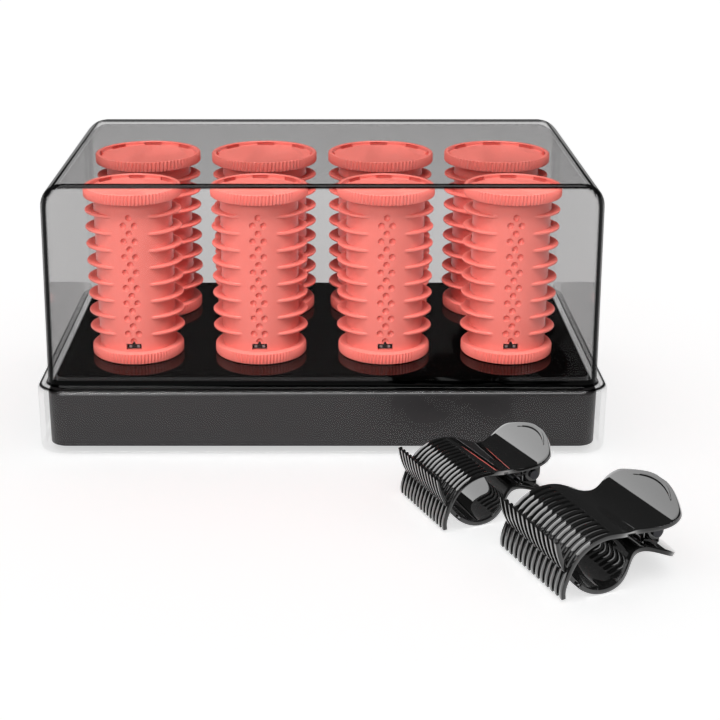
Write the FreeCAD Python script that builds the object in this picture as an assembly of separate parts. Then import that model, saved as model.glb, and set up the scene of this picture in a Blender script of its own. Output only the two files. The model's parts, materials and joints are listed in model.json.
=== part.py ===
import FreeCAD, Part
import math
import os

# Heated hair-roller set: a low base with eight heating posts, eight finned rollers that
# stand over the posts, a clear lift-off cover, and two sprung comb clips beside the base.
# Millimetres.  Origin: middle of the base footprint on the table.  +X right, +Z up,
# -Y is the front.

V = FreeCAD.Vector
UP = V(0, 0, 1)

# ---- driving dimensions: base ------------------------------------------------------
FOOT_HEIGHT = 2.5
FOOT_RADIUS = 7.0
BASE_HALF_X = 106.9
BASE_HALF_Y = 63.3
BASE_CORNER = 7.0
BASE_TOP = 25.1
BASE_WALL = 2.5
BASE_CHAMFER = 1.5
LEDGE_WIDTH = 6.9
PAN_THICKNESS = 2.0
DECK_TOP = 31.0
DECK_HALF_X = 103.5
DECK_HALF_Y = 60.5
DECK_CORNER = 5.0
DECK_WALL = 2.5
DECK_CHAMFER = 0.6
SEAT_GAP = 0.1

# ---- heating parts -----------------------------------------------------------------
HEATER_BOTTOM = 13.0
HEATER_THICKNESS = 2.0
HEATER_HALF_X = 91.0
HEATER_HALF_Y = 51.0
PILLAR_RADIUS = 4.0
PILLARS = [(x, y) for x in (-50.0, 0.0, 50.0) for y in (-8.0, 16.0)]
POST_RADIUS = 8.0
POST_WALL = 1.2
POST_ABOVE_DECK = 52.0
POST_FLANGE_RADIUS = 11.0
POST_FLANGE_THICKNESS = 1.6
POST_HOLE_GAP = 0.4
THERMOSTAT_AT = (26.0, 4.0)
THERMOSTAT_RADIUS = 8.0
THERMOSTAT_HEIGHT = 5.0
BLOCK_SIZE = (24.0, 12.0, 7.0)
BLOCK_Y = 38.0
WIRE_RADIUS = 1.2
WIRE_HEIGHT = 8.0
BOSS_AT = (97.0, 53.0)
BOSS_RADIUS = 4.0
BOSS_BORE = 1.55
SCREW_RADIUS = 1.5
SCREW_HEAD_RADIUS = 2.8
SCREW_HEAD_HEIGHT = 1.3
SCREW_LENGTH = 14.0

# ---- cord inlet in the back wall ---------------------------------------------------
GLAND_HEIGHT = 13.0
GLAND_BORE = 3.4
GLAND_BODY = 5.4
GLAND_FLANGE = 7.0
GLAND_LENGTH = 12.0
GLAND_PROUD = 1.2
NOTCH_HALF_WIDTH = 9.0
NOTCH_TOP = 21.5

# ---- cover -------------------------------------------------------------------------
COVER_WALL = 2.0
COVER_TOP_HALF_X = 105.45
COVER_TOP_HALF_Y = 61.85
COVER_DRAFT = 1.32
COVER_TOP = 106.8
COVER_CORNER = 7.0
COVER_ROOF_RADIUS = 10.0
SKIRT_HALF_X = 110.7
SKIRT_HALF_Y = 67.1
SKIRT_CORNER = 10.5
SKIRT_BOTTOM = 1.0
SHOULDER_TOP = 27.2
SHOULDER_RADIUS = 1.9

# ---- rollers -----------------------------------------------------------------------
ROLLER_PITCH = 49.4
FRONT_ROW_Y = -31.0
BACK_ROW_Y = 27.7
RING_HEIGHT = 4.6
SHELL_TOP = 64.4
CAP_TOP = 68.5
CAP_RECESS = 1.5
CAP_RIM_WIDTH = 1.75
CAP_PLUG_DEPTH = 3.0
SHELL_WALL = 2.1
FIN_COUNT = 8
FIN_FIRST = 11.2
FIN_PITCH = 6.8
FIN_THICKNESS = 1.1
FIN_OPEN_ANGLE = 28.0
WINDOW_WIDTH = 5.9
WINDOW_BOTTOM = 5.3
WINDOW_HEIGHT = 2.6
WINDOW_NOTCH = 0.8
SLEEVE_BORE = 8.6
SLEEVE_WALL = 1.0
SLEEVE_BOTTOM = 0.6
SLEEVE_TOP = 57.0
CORE_BOTTOM = 0.4
CORE_TOP = 60.8
FIT_GAP = 0.1
ROW_SIZES = {
    # row: (place along Y, cap radius, end-ring radius, shell radius, fin reach)
    "f": (FRONT_ROW_Y, 19.05, 18.2, 15.2, 18.8),
    "b": (BACK_ROW_Y, 22.2, 21.1, 17.7, 21.9),
}

# ---- clips (own frame: x from mouth to thumb tabs, y along the barrel, z up) --------
CLIP_LENGTH = 41.0
CLIP_WALL = 1.5
TOOTH_COUNT = 14
TOOTH_WIDTH = 1.6
LOWER_TOOTH_WIDTH = 1.1
UPPER_LINE = [(0.6, 0.9), (0.4, 3.4), (1.5, 7.6), (3.4, 12.0), (6.4, 15.9), (10.8, 18.7),
              (16.0, 19.9), (22.0, 19.3), (28.0, 17.6), (33.5, 17.3), (39.0, 19.0),
              (44.5, 22.3), (49.0, 25.9)]
LOWER_LINE = [(-1.7, 20.4), (-0.4, 15.0), (2.0, 9.9), (5.0, 5.7), (9.2, 2.4), (15.0, 0.8),
              (20.6, 2.2), (24.5, 5.0), (27.6, 8.3), (31.8, 10.2), (36.0, 10.0),
              (42.0, 8.0), (48.0, 4.3)]
UPPER_SLOT_END = 17.5
LOWER_SLOT_END = 6.6
UPPER_OUTLINE = [(20.0, 20.5), (25.0, 18.6), (30.0, 16.0), (34.0, 16.6), (38.0, 18.7),
                 (41.5, 19.8), (44.4, 18.4), (46.8, 13.6), (48.9, 7.0), (49.6, 0.0)]
LOWER_OUTLINE = [(20.0, 20.5), (25.0, 18.5), (30.0, 15.6), (34.0, 16.2), (38.0, 18.2),
                 (41.0, 19.0), (43.6, 17.8), (45.8, 13.2), (47.6, 6.8), (48.4, 0.0)]
HINGE_X = 39.5
HINGE_Z = 13.9
PIN_RADIUS = 1.0
PIN_GAP = 0.05
PIN_HALF_LENGTH = 13.3
PIN_HEAD_RADIUS = 1.7
EAR_RADIUS = 3.1
EAR_THICKNESS = 1.8
LOWER_EAR_Y = 9.2
UPPER_EAR_Y = 11.4
SPRING_WIRE = 0.45
SPRING_COIL_RADIUS = 1.85
SPRING_TURNS = 4
SPRING_PITCH = 1.1
UPPER_LEG = (8.4, 30.0)
LOWER_LEG = (7.6, 143.0)
CLIPS = {
    # clip: (x, y of the barrel's middle under the mouth, heading in degrees,
    #        overall size, breadth along the barrel)
    "clip_a": (68.5, -162.7, 22.0, 1.0, 1.0),
    "clip_b": (35.6, -117.1, 23.2, 0.965, 0.86),
}
TABLE_GAP = 0.1

nodes = {}


# ---- helpers -----------------------------------------------------------------------
def rounded_outline(half_x, half_y, radius, z):
    """Closed wire of a rounded rectangle centred on the Z axis."""
    edges = []
    turns = ((1, 1), (-1, 1), (-1, -1), (1, -1))
    corners = [(sx * (half_x - radius), sy * (half_y - radius)) for sx, sy in turns]
    for index, (cx, cy) in enumerate(corners):
        start = 90.0 * index
        edges.append(Part.makeCircle(radius, V(cx, cy, z), UP, start, start + 90.0))
        nx, ny = corners[(index + 1) % 4]
        turn = math.radians(start + 90.0)
        shift = V(radius * math.cos(turn), radius * math.sin(turn), 0)
        edges.append(Part.makeLine(V(cx, cy, z) + shift, V(nx, ny, z) + shift))
    return Part.Wire(edges)


def rounded_block(half_x, half_y, radius, z0, z1):
    face = Part.Face(rounded_outline(half_x, half_y, radius, z0))
    return face.extrude(V(0, 0, z1 - z0))


def cylinder(radius, z0, z1, x=0.0, y=0.0):
    return Part.makeCylinder(radius, z1 - z0, V(x, y, z0), UP)


def tube(inner, outer, z0, z1, x=0.0, y=0.0):
    return cylinder(outer, z0, z1, x, y).cut(cylinder(inner, z0 - 1, z1 + 1, x, y))


def edges_at(shape, z):
    """Edges that lie wholly in the level plane at z."""
    level = []
    for edge in shape.Edges:
        box = edge.BoundBox
        if abs(box.ZMin - z) < 1e-4 and abs(box.ZMax - z) < 1e-4:
            level.append(edge)
    return level


def outer_edges_at(shape, z, half_x, half_y):
    """Level edges at z whose middle lies on the outline with these half sizes."""
    found = []
    for edge in edges_at(shape, z):
        box = edge.BoundBox
        if max(abs(box.XMin), abs(box.XMax)) > half_x - 0.01 or \
                max(abs(box.YMin), abs(box.YMax)) > half_y - 0.01:
            found.append(edge)
    return found


def roller_places():
    for row in ("f", "b"):
        for index in range(4):
            yield row, index + 1, (index - 1.5) * ROLLER_PITCH, ROW_SIZES[row][0]


# ---- base --------------------------------------------------------------------------
def base_housing():
    body = rounded_block(BASE_HALF_X, BASE_HALF_Y, BASE_CORNER, FOOT_HEIGHT, BASE_TOP)
    rim = outer_edges_at(body, BASE_TOP, BASE_HALF_X, BASE_HALF_Y)
    body = body.makeChamfer(BASE_CHAMFER, rim)
    inner_x = BASE_HALF_X - BASE_WALL
    inner_y = BASE_HALF_Y - BASE_WALL
    hollow = rounded_block(inner_x, inner_y, BASE_CORNER - BASE_WALL,
                           FOOT_HEIGHT - 1, BASE_TOP - BASE_WALL)
    mouth = rounded_block(BASE_HALF_X - LEDGE_WIDTH, BASE_HALF_Y - LEDGE_WIDTH, 3.0,
                          BASE_TOP - BASE_WALL - 1, BASE_TOP + 1)
    body = body.cut(hollow).cut(mouth)
    for sx in (-1, 1):
        for sy in (-1, 1):
            x, y = sx * BOSS_AT[0], sy * BOSS_AT[1]
            boss = cylinder(BOSS_RADIUS, FOOT_HEIGHT + PAN_THICKNESS,
                            BASE_TOP - BASE_WALL + 0.5, x, y)
            body = body.fuse(boss)
            body = body.cut(cylinder(BOSS_BORE, 0, FOOT_HEIGHT + SCREW_LENGTH + 2, x, y))
    hole = Part.makeCylinder(GLAND_BODY + FIT_GAP, 10,
                             V(0, BASE_HALF_Y - 5, GLAND_HEIGHT), V(0, 1, 0))
    return body.cut(hole).removeSplitter()


def base_pan():
    gap = 0.2
    pan = rounded_block(BASE_HALF_X - BASE_WALL - gap, BASE_HALF_Y - BASE_WALL - gap,
                        BASE_CORNER - BASE_WALL, FOOT_HEIGHT, FOOT_HEIGHT + PAN_THICKNESS)
    for x, y in PILLARS:
        pan = pan.fuse(cylinder(PILLAR_RADIUS, FOOT_HEIGHT + 1, HEATER_BOTTOM, x, y))
    for sx in (-1, 1):
        for sy in (-1, 1):
            pan = pan.cut(cylinder(SCREW_RADIUS + 0.2, 0, 8, sx * BOSS_AT[0], sy * BOSS_AT[1]))
    return pan.removeSplitter()


def deck_plate():
    deck = rounded_block(DECK_HALF_X, DECK_HALF_Y, DECK_CORNER, BASE_TOP, DECK_TOP)
    rim = outer_edges_at(deck, DECK_TOP, DECK_HALF_X, DECK_HALF_Y)
    deck = deck.makeChamfer(DECK_CHAMFER, rim)
    deck = deck.cut(rounded_block(DECK_HALF_X - DECK_WALL, DECK_HALF_Y - DECK_WALL,
                                  DECK_CORNER - DECK_WALL, BASE_TOP - 1, DECK_TOP - DECK_WALL))
    for _, _, x, y in roller_places():
        deck = deck.cut(cylinder(POST_RADIUS + POST_HOLE_GAP, BASE_TOP, DECK_TOP + 1, x, y))
    return deck


def heating_posts():
    """Eight closed aluminium thimbles with a flange that bolts flat on the heater plate."""
    bottom = HEATER_BOTTOM + HEATER_THICKNESS
    top = DECK_TOP + POST_ABOVE_DECK
    dome = 2.5
    profile = Part.Wire([
        Part.makeLine(V(0, 0, top), V(POST_RADIUS - dome, 0, top)),
        Part.Arc(V(POST_RADIUS - dome, 0, top),
                 V(POST_RADIUS - dome + dome * math.sin(math.pi / 4), 0,
                   top - dome + dome * math.cos(math.pi / 4)),
                 V(POST_RADIUS, 0, top - dome)).toShape(),
        Part.makeLine(V(POST_RADIUS, 0, top - dome),
                      V(POST_RADIUS, 0, bottom + POST_FLANGE_THICKNESS)),
        Part.makeLine(V(POST_RADIUS, 0, bottom + POST_FLANGE_THICKNESS),
                      V(POST_FLANGE_RADIUS, 0, bottom + POST_FLANGE_THICKNESS)),
        Part.makeLine(V(POST_FLANGE_RADIUS, 0, bottom + POST_FLANGE_THICKNESS),
                      V(POST_FLANGE_RADIUS, 0, bottom)),
        Part.makeLine(V(POST_FLANGE_RADIUS, 0, bottom), V(POST_RADIUS - POST_WALL, 0, bottom)),
        Part.makeLine(V(POST_RADIUS - POST_WALL, 0, bottom),
                      V(POST_RADIUS - POST_WALL, 0, top - dome)),
        Part.makeLine(V(POST_RADIUS - POST_WALL, 0, top - dome), V(0, 0, top - dome)),
        Part.makeLine(V(0, 0, top - dome), V(0, 0, top)),
    ])
    post = Part.Face(profile).revolve(V(0, 0, 0), UP, 360)
    return [post.translated(V(x, y, 0)) for _, _, x, y in roller_places()]


def heater_plate():
    return rounded_block(HEATER_HALF_X, HEATER_HALF_Y, 6.0,
                         HEATER_BOTTOM, HEATER_BOTTOM + HEATER_THICKNESS)


def thermostat():
    x, y = THERMOSTAT_AT
    body = cylinder(THERMOSTAT_RADIUS, HEATER_BOTTOM - THERMOSTAT_HEIGHT, HEATER_BOTTOM, x, y)
    low = HEATER_BOTTOM - THERMOSTAT_HEIGHT
    return body.makeChamfer(0.6, edges_at(body, low))


def terminal_block():
    sx, sy, sz = BLOCK_SIZE
    floor = FOOT_HEIGHT + PAN_THICKNESS
    body = Part.makeBox(sx, sy, sz, V(-sx / 2, BLOCK_Y - sy / 2, floor))
    for index in range(3):
        x = (index - 1) * sx / 3
        body = body.cut(cylinder(1.8, floor + sz - 2.5, floor + sz + 1, x, BLOCK_Y))
    return body


def wire(points, radius, bend):
    """Round wire along straight runs joined by tangent arcs."""
    corners = [V(*p) for p in points]
    edges = []
    start = corners[0]
    for before, corner, after in zip(corners, corners[1:], corners[2:]):
        into = (corner - before).normalize()
        out = (after - corner).normalize()
        half_turn = math.acos(into.dot(out)) / 2
        trim = bend * math.tan(half_turn)
        a, b = corner - into * trim, corner + out * trim
        inward = (out - into).normalize()
        middle = corner + inward * (bend / math.cos(half_turn) - bend)
        edges.append(Part.makeLine(start, a))
        edges.append(Part.Arc(a, middle, b).toShape())
        start = b
    edges.append(Part.makeLine(start, corners[-1]))
    path = Part.Wire(edges)
    first = (corners[1] - corners[0]).normalize()
    section = Part.Wire(Part.makeCircle(radius, corners[0], first))
    return path.makePipeShell([section], True, True)


def wiring():
    half = BLOCK_SIZE[0] / 2
    tx, ty = THERMOSTAT_AT
    to_thermostat = wire([(half, BLOCK_Y, WIRE_HEIGHT), (tx, BLOCK_Y, WIRE_HEIGHT),
                          (tx, ty + THERMOSTAT_RADIUS + 0.3, WIRE_HEIGHT + 1.5)], WIRE_RADIUS, 6.0)
    to_heater = wire([(-half, BLOCK_Y, WIRE_HEIGHT), (-tx, BLOCK_Y, WIRE_HEIGHT),
                      (-tx, ty, WIRE_HEIGHT), (-tx, ty, HEATER_BOTTOM)], WIRE_RADIUS, 3.0)
    return [to_thermostat, to_heater]


def cord_gland():
    """Bushing through the back wall with an outer flange and an inner nut."""
    out = V(0, 1, 0)
    back = BASE_HALF_Y + GLAND_PROUD
    body = Part.makeCylinder(GLAND_BODY, GLAND_LENGTH, V(0, back - GLAND_LENGTH, GLAND_HEIGHT), out)
    flange = Part.makeCylinder(GLAND_FLANGE, GLAND_PROUD, V(0, BASE_HALF_Y, GLAND_HEIGHT), out)
    nut_y = BASE_HALF_Y - BASE_WALL - 3.0
    nut = Part.makeCylinder(GLAND_FLANGE, 3.0, V(0, nut_y, GLAND_HEIGHT), out)
    gland = body.fuse(flange).fuse(nut)
    bore = Part.makeCylinder(GLAND_BORE, GLAND_LENGTH + 2,
                             V(0, back - GLAND_LENGTH - 1, GLAND_HEIGHT), out)
    return gland.cut(bore).removeSplitter()


def base_screws():
    screws = []
    for sx in (-1, 1):
        for sy in (-1, 1):
            x, y = sx * BOSS_AT[0], sy * BOSS_AT[1]
            head = cylinder(SCREW_HEAD_RADIUS, FOOT_HEIGHT - SCREW_HEAD_HEIGHT, FOOT_HEIGHT, x, y)
            shank = cylinder(SCREW_RADIUS, FOOT_HEIGHT, FOOT_HEIGHT + SCREW_LENGTH, x, y)
            slot = Part.makeBox(0.8, 2 * SCREW_HEAD_RADIUS, 0.6,
                                V(x - 0.4, y - SCREW_HEAD_RADIUS, FOOT_HEIGHT - SCREW_HEAD_HEIGHT))
            screws.append(head.fuse(shank).cut(slot).removeSplitter())
    return screws


def rubber_feet():
    places = [(sx * 88.0, sy * 45.0) for sx in (-1, 1) for sy in (-1, 1)] + [(0.0, 0.0)]
    foot = cylinder(FOOT_RADIUS, 0, FOOT_HEIGHT)
    foot = foot.makeChamfer(0.5, edges_at(foot, 0))
    return [foot.translated(V(x, y, 0)) for x, y in places]


# ---- cover -------------------------------------------------------------------------
def cover_box(inset, z0):
    """Drafted upper box with rounded upright corners and rounded roof sides."""
    top = COVER_TOP - inset
    fall = (top - z0) / (COVER_TOP - SHOULDER_TOP)
    top_x, top_y = COVER_TOP_HALF_X - inset, COVER_TOP_HALF_Y - inset
    low_x, low_y = top_x + COVER_DRAFT * fall, top_y + COVER_DRAFT * fall
    corner = COVER_CORNER - inset
    body = Part.makeLoft([rounded_outline(low_x, low_y, corner, z0),
                          rounded_outline(top_x, top_y, corner, top)], True, True)
    radius = COVER_ROOF_RADIUS - inset
    for side in (-1, 1):
        x = side * (top_x - radius)
        block = Part.makeBox(radius + 1, 2 * top_y + 2, radius + 1,
                             V(min(x, x + side * (radius + 1)), -top_y - 1, top - radius))
        round_off = Part.makeCylinder(radius, 2 * top_y + 4, V(x, -top_y - 2, top - radius),
                                      V(0, 1, 0))
        body = body.cut(block.cut(round_off))
    return body


def cover():
    skirt = rounded_block(SKIRT_HALF_X, SKIRT_HALF_Y, SKIRT_CORNER, SKIRT_BOTTOM, SHOULDER_TOP)
    rim = outer_edges_at(skirt, SHOULDER_TOP, SKIRT_HALF_X, SKIRT_HALF_Y)
    skirt = skirt.makeFillet(SHOULDER_RADIUS, rim)
    inner = rounded_block(SKIRT_HALF_X - COVER_WALL, SKIRT_HALF_Y - COVER_WALL,
                          SKIRT_CORNER - COVER_WALL, SKIRT_BOTTOM - 1,
                          SHOULDER_TOP - COVER_WALL)
    shell = skirt.cut(inner).fuse(cover_box(0, SHOULDER_TOP - COVER_WALL))
    shell = shell.cut(cover_box(COVER_WALL, SHOULDER_TOP - COVER_WALL - 1))
    notch = Part.makeBox(2 * NOTCH_HALF_WIDTH, 8, NOTCH_TOP,
                         V(-NOTCH_HALF_WIDTH, SKIRT_HALF_Y - 6, 0))
    return shell.cut(notch)


# ---- rollers -----------------------------------------------------------------------
def fin_plates(shell_radius, reach, x, y):
    """Pairs of thin crescent fins, open at the front and the back."""
    open_side = math.cos(math.radians(90.0 - FIN_OPEN_ANGLE))
    offset = (reach ** 2 - shell_radius ** 2) / (2 * (reach - shell_radius * open_side))
    plates = []
    for index in range(FIN_COUNT):
        middle = DECK_TOP + FIN_FIRST + index * FIN_PITCH
        low, high = middle - FIN_THICKNESS / 2, middle + FIN_THICKNESS / 2
        hollow = cylinder(shell_radius - 1.0, low - 1, high + 1, x, y)
        for side in (-1, 1):
            plates.append(cylinder(reach - offset, low, high, x + side * offset, y).cut(hollow))
    return plates


def roller(row, x, y):
    _, cap_radius, ring_radius, shell_radius, reach = ROW_SIZES[row]
    bore = shell_radius - SHELL_WALL
    deck = DECK_TOP + SEAT_GAP
    ring = tube(bore, ring_radius, deck, DECK_TOP + RING_HEIGHT, x, y)

    shell = tube(bore, shell_radius, DECK_TOP + RING_HEIGHT, DECK_TOP + SHELL_TOP, x, y)
    shell = shell.fuse(fin_plates(shell_radius, reach, x, y))
    low = DECK_TOP + WINDOW_BOTTOM
    outline = [(-0.5, 0), (0.5, 0), (0.5, 1), (0.12, 1), (0, 1 + WINDOW_NOTCH / WINDOW_HEIGHT),
               (-0.12, 1), (-0.5, 1), (-0.5, 0)]
    window = Part.Face(Part.makePolygon([V(x + px * WINDOW_WIDTH, y - shell_radius - 2,
                                           low + pz * WINDOW_HEIGHT) for px, pz in outline]))
    shell = shell.cut(window.extrude(V(0, 2 + SHELL_WALL + 1.5, 0))).removeSplitter()

    cap = cylinder(cap_radius, DECK_TOP + SHELL_TOP, DECK_TOP + CAP_TOP, x, y)
    plug = cylinder(bore - FIT_GAP, DECK_TOP + SHELL_TOP - CAP_PLUG_DEPTH,
                    DECK_TOP + SHELL_TOP, x, y)
    recess = cylinder(cap_radius - CAP_RIM_WIDTH, DECK_TOP + CAP_TOP - CAP_RECESS,
                      DECK_TOP + CAP_TOP + 1, x, y)
    cap = cap.fuse(plug).cut(recess).removeSplitter()

    sleeve_outer = SLEEVE_BORE + SLEEVE_WALL
    core = tube(sleeve_outer + FIT_GAP, bore - FIT_GAP, DECK_TOP + CORE_BOTTOM,
                DECK_TOP + CORE_TOP, x, y)
    sleeve = tube(SLEEVE_BORE, sleeve_outer, DECK_TOP + SLEEVE_BOTTOM,
                  DECK_TOP + SLEEVE_TOP, x, y)
    return {"shell": shell, "cap": cap, "ring": ring, "core": core, "sleeve": sleeve}


# ---- clips -------------------------------------------------------------------------
def smooth_edge(points):
    curve = Part.BSplineCurve()
    curve.interpolate(points)
    return curve.toShape()


def height_on(line, x):
    """Height of a jaw's centre line at x, straight between its points."""
    for (x0, z0), (x1, z1) in zip(line, line[1:]):
        if x0 <= x <= x1:
            return z0 + (z1 - z0) * (x - x0) / (x1 - x0)
    return line[-1][1]


def bent_wall(line, length):
    """Solid wall of even thickness that follows a line in the x-z plane."""
    middle = Part.BSplineCurve()
    middle.interpolate([V(x, 0, z) for x, z in line])
    first, last = middle.FirstParameter, middle.LastParameter
    steps = 3 * (len(line) - 1)
    sides = ([], [])
    for index in range(steps + 1):
        at = first + (last - first) * index / steps
        point, ahead = middle.value(at), middle.tangent(at)[0]
        across = V(-ahead.z, 0, ahead.x) * (CLIP_WALL / 2)
        sides[0].append(point + across)
        sides[1].append(point - across)
    outline = Part.Wire([smooth_edge(sides[0]), Part.makeLine(sides[0][-1], sides[1][-1]),
                         smooth_edge(sides[1][::-1]), Part.makeLine(sides[1][0], sides[0][0])])
    wall = Part.Face(outline).extrude(V(0, length, 0))
    return wall.translated(V(0, -length / 2, 0))


def spoon_prism(outline, breadth):
    """Upright prism of the jaw's plan: straight along the barrel, waisted, round-ended."""
    outline = [(x, y * breadth) for x, y in outline]
    half = CLIP_LENGTH * breadth / 2
    near = smooth_edge([V(x, y, -5) for x, y in outline] +
                       [V(x, -y, -5) for x, y in outline[-2::-1]])
    start = outline[0][0]
    mouth = -8.0
    sides = Part.makePolygon([V(start, -half, -5), V(mouth, -half, -5), V(mouth, half, -5),
                              V(start, half, -5)])
    face = Part.Face(Part.Wire([near] + sides.Edges))
    return face.extrude(V(0, 0, 45))


def comb_slots(tooth, offset, end, breadth):
    """Boxes between the teeth, from beyond the mouth to x = end."""
    pitch = (CLIP_LENGTH - TOOTH_WIDTH) / (TOOTH_COUNT - 1)
    first = (TOOTH_WIDTH - CLIP_LENGTH) / 2 + offset * pitch
    slots = []
    for index in range(-1, TOOTH_COUNT + 1):
        low = first + index * pitch + tooth / 2
        slots.append(Part.makeBox(end + 8, (pitch - tooth) * breadth, 32,
                                  V(-8, low * breadth, -2)))
    return slots


def ear(side_y, line):
    """Hinge ear: a plate round the pin that reaches up or down into its jaw."""
    y = side_y - EAR_THICKNESS / 2
    knuckle = Part.makeCylinder(EAR_RADIUS, EAR_THICKNESS, V(HINGE_X, y, HINGE_Z), V(0, 1, 0))
    left, right = HINGE_X - EAR_RADIUS, HINGE_X + EAR_RADIUS
    web = Part.Face(Part.makePolygon([V(left, y, HINGE_Z), V(right, y, HINGE_Z),
                                      V(right, y, height_on(line, right)),
                                      V(left, y, height_on(line, left)), V(left, y, HINGE_Z)]))
    return knuckle.fuse(web.extrude(V(0, EAR_THICKNESS, 0)))


def jaw(line, outline, ear_y, tooth, offset, slot_end, breadth):
    body = bent_wall(line, CLIP_LENGTH * breadth).common(spoon_prism(outline, breadth))
    for side in (-1, 1):
        body = body.fuse(ear(side * ear_y, line))
    body = body.cut(Part.Compound(comb_slots(tooth, offset, slot_end, breadth)))
    bore = Part.makeCylinder(PIN_RADIUS + PIN_GAP, 40, V(HINGE_X, -20, HINGE_Z), V(0, 1, 0))
    return body.cut(bore).removeSplitter()


def hinge_pin():
    along = V(0, 1, 0)
    pin = Part.makeCylinder(PIN_RADIUS, 2 * PIN_HALF_LENGTH,
                            V(HINGE_X, -PIN_HALF_LENGTH, HINGE_Z), along)
    for end in (-PIN_HALF_LENGTH, PIN_HALF_LENGTH - 0.8):
        pin = pin.fuse(Part.makeCylinder(PIN_HEAD_RADIUS, 0.8, V(HINGE_X, end, HINGE_Z), along))
    return pin.removeSplitter()


def torsion_spring():
    """Coils round the pin with a leg towards each jaw on the thumb side."""
    length = SPRING_TURNS * SPRING_PITCH
    helix = Part.makeHelix(SPRING_PITCH, length, SPRING_COIL_RADIUS)
    section = Part.Wire(Part.makeCircle(SPRING_WIRE, V(SPRING_COIL_RADIUS, 0, 0), V(0, 1, 0)))
    coil = Part.Wire(helix.Edges).makePipeShell([section], True, True)
    coil.rotate(V(0, 0, 0), V(1, 0, 0), -90)
    coil.translate(V(HINGE_X, -length / 2, HINGE_Z))
    legs = []
    for side, (reach, lean) in ((-1, UPPER_LEG), (1, LOWER_LEG)):
        start = V(HINGE_X + SPRING_COIL_RADIUS, side * length / 2, HINGE_Z)
        toward = V(math.sin(math.radians(lean)), 0, math.cos(math.radians(lean)))
        legs.append(Part.makeCylinder(SPRING_WIRE, reach, start, toward))
    return coil.fuse(legs)


def clip(x, y, heading, size, breadth):
    pieces = {
        "upper_jaw": jaw(UPPER_LINE, UPPER_OUTLINE, UPPER_EAR_Y, TOOTH_WIDTH, 0,
                         UPPER_SLOT_END, breadth),
        "lower_jaw": jaw(LOWER_LINE, LOWER_OUTLINE, LOWER_EAR_Y, LOWER_TOOTH_WIDTH, 0.5,
                         LOWER_SLOT_END, breadth),
        "pin": hinge_pin(),
        "spring": torsion_spring(),
    }
    placed = {}
    for piece, shape in pieces.items():
        shape = shape.scaled(size) if size != 1 else shape
        shape.rotate(V(0, 0, 0), UP, heading)
        shape.translate(V(x, y, TABLE_GAP))
        placed[piece] = shape
    return placed


# ---- build and write ---------------------------------------------------------------
nodes["base_housing"] = base_housing()
nodes["base_pan"] = base_pan()
nodes["deck_plate"] = deck_plate()
nodes["heating_posts"] = heating_posts()
nodes["heater_plate"] = heater_plate()
nodes["thermostat"] = thermostat()
nodes["terminal_block"] = terminal_block()
nodes["wiring"] = wiring()
nodes["cord_gland"] = cord_gland()
nodes["base_screws"] = base_screws()
nodes["rubber_feet"] = rubber_feet()
nodes["cover"] = cover()

for row, number, x, y in roller_places():
    for piece, shape in roller(row, x, y).items():
        nodes[f"roller_{row}{number}_{piece}"] = shape

for name, numbers in CLIPS.items():
    for piece, shape in clip(*numbers).items():
        nodes[f"{name}_{piece}"] = shape

os.makedirs("parts", exist_ok=True)
for name, shape in nodes.items():
    solid = Part.Compound(shape) if isinstance(shape, list) else shape
    solid.exportStep(f"parts/{name}.step")
    box = solid.BoundBox
    print(f"{name:24s} solids {len(solid.Solids)} valid {solid.isValid()} volume {solid.Volume:9.1f}"
          f"  z {box.ZMin:6.2f} to {box.ZMax:6.2f}")
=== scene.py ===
import bpy
import bmesh
import json
import numpy as np
from math import atan2, cos, degrees, pi, radians, sin, sqrt
from mathutils import Matrix, Vector

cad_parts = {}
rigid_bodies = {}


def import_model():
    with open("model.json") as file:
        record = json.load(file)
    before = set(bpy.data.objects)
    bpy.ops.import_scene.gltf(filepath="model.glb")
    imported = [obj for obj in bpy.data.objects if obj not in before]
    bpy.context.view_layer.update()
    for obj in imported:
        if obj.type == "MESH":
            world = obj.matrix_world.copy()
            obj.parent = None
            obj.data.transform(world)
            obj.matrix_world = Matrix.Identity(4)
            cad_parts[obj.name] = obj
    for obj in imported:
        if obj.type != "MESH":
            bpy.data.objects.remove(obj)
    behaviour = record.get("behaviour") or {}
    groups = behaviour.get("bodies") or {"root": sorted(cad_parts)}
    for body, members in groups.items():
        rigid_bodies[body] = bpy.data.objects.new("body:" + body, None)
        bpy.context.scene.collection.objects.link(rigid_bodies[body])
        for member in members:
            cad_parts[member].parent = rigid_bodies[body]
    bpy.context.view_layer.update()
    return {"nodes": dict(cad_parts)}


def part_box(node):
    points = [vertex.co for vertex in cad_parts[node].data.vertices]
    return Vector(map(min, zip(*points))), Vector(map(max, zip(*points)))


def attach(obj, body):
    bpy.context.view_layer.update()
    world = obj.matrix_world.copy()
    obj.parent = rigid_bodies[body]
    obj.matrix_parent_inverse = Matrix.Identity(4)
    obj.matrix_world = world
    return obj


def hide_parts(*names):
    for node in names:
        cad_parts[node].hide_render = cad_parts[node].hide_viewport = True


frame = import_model()

MM = 0.001
nodes = frame["nodes"]

# ---- sizes in millimetres, worked out from the frame where it has them --------------------
skirt_low, skirt_high = (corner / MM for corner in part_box("cover"))
housing_low, housing_high = (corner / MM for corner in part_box("base_housing"))
DECK_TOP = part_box("deck_plate")[1].z / MM
COVER_TOP = skirt_high.z
SKIRT_BOTTOM = skirt_low.z
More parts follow.
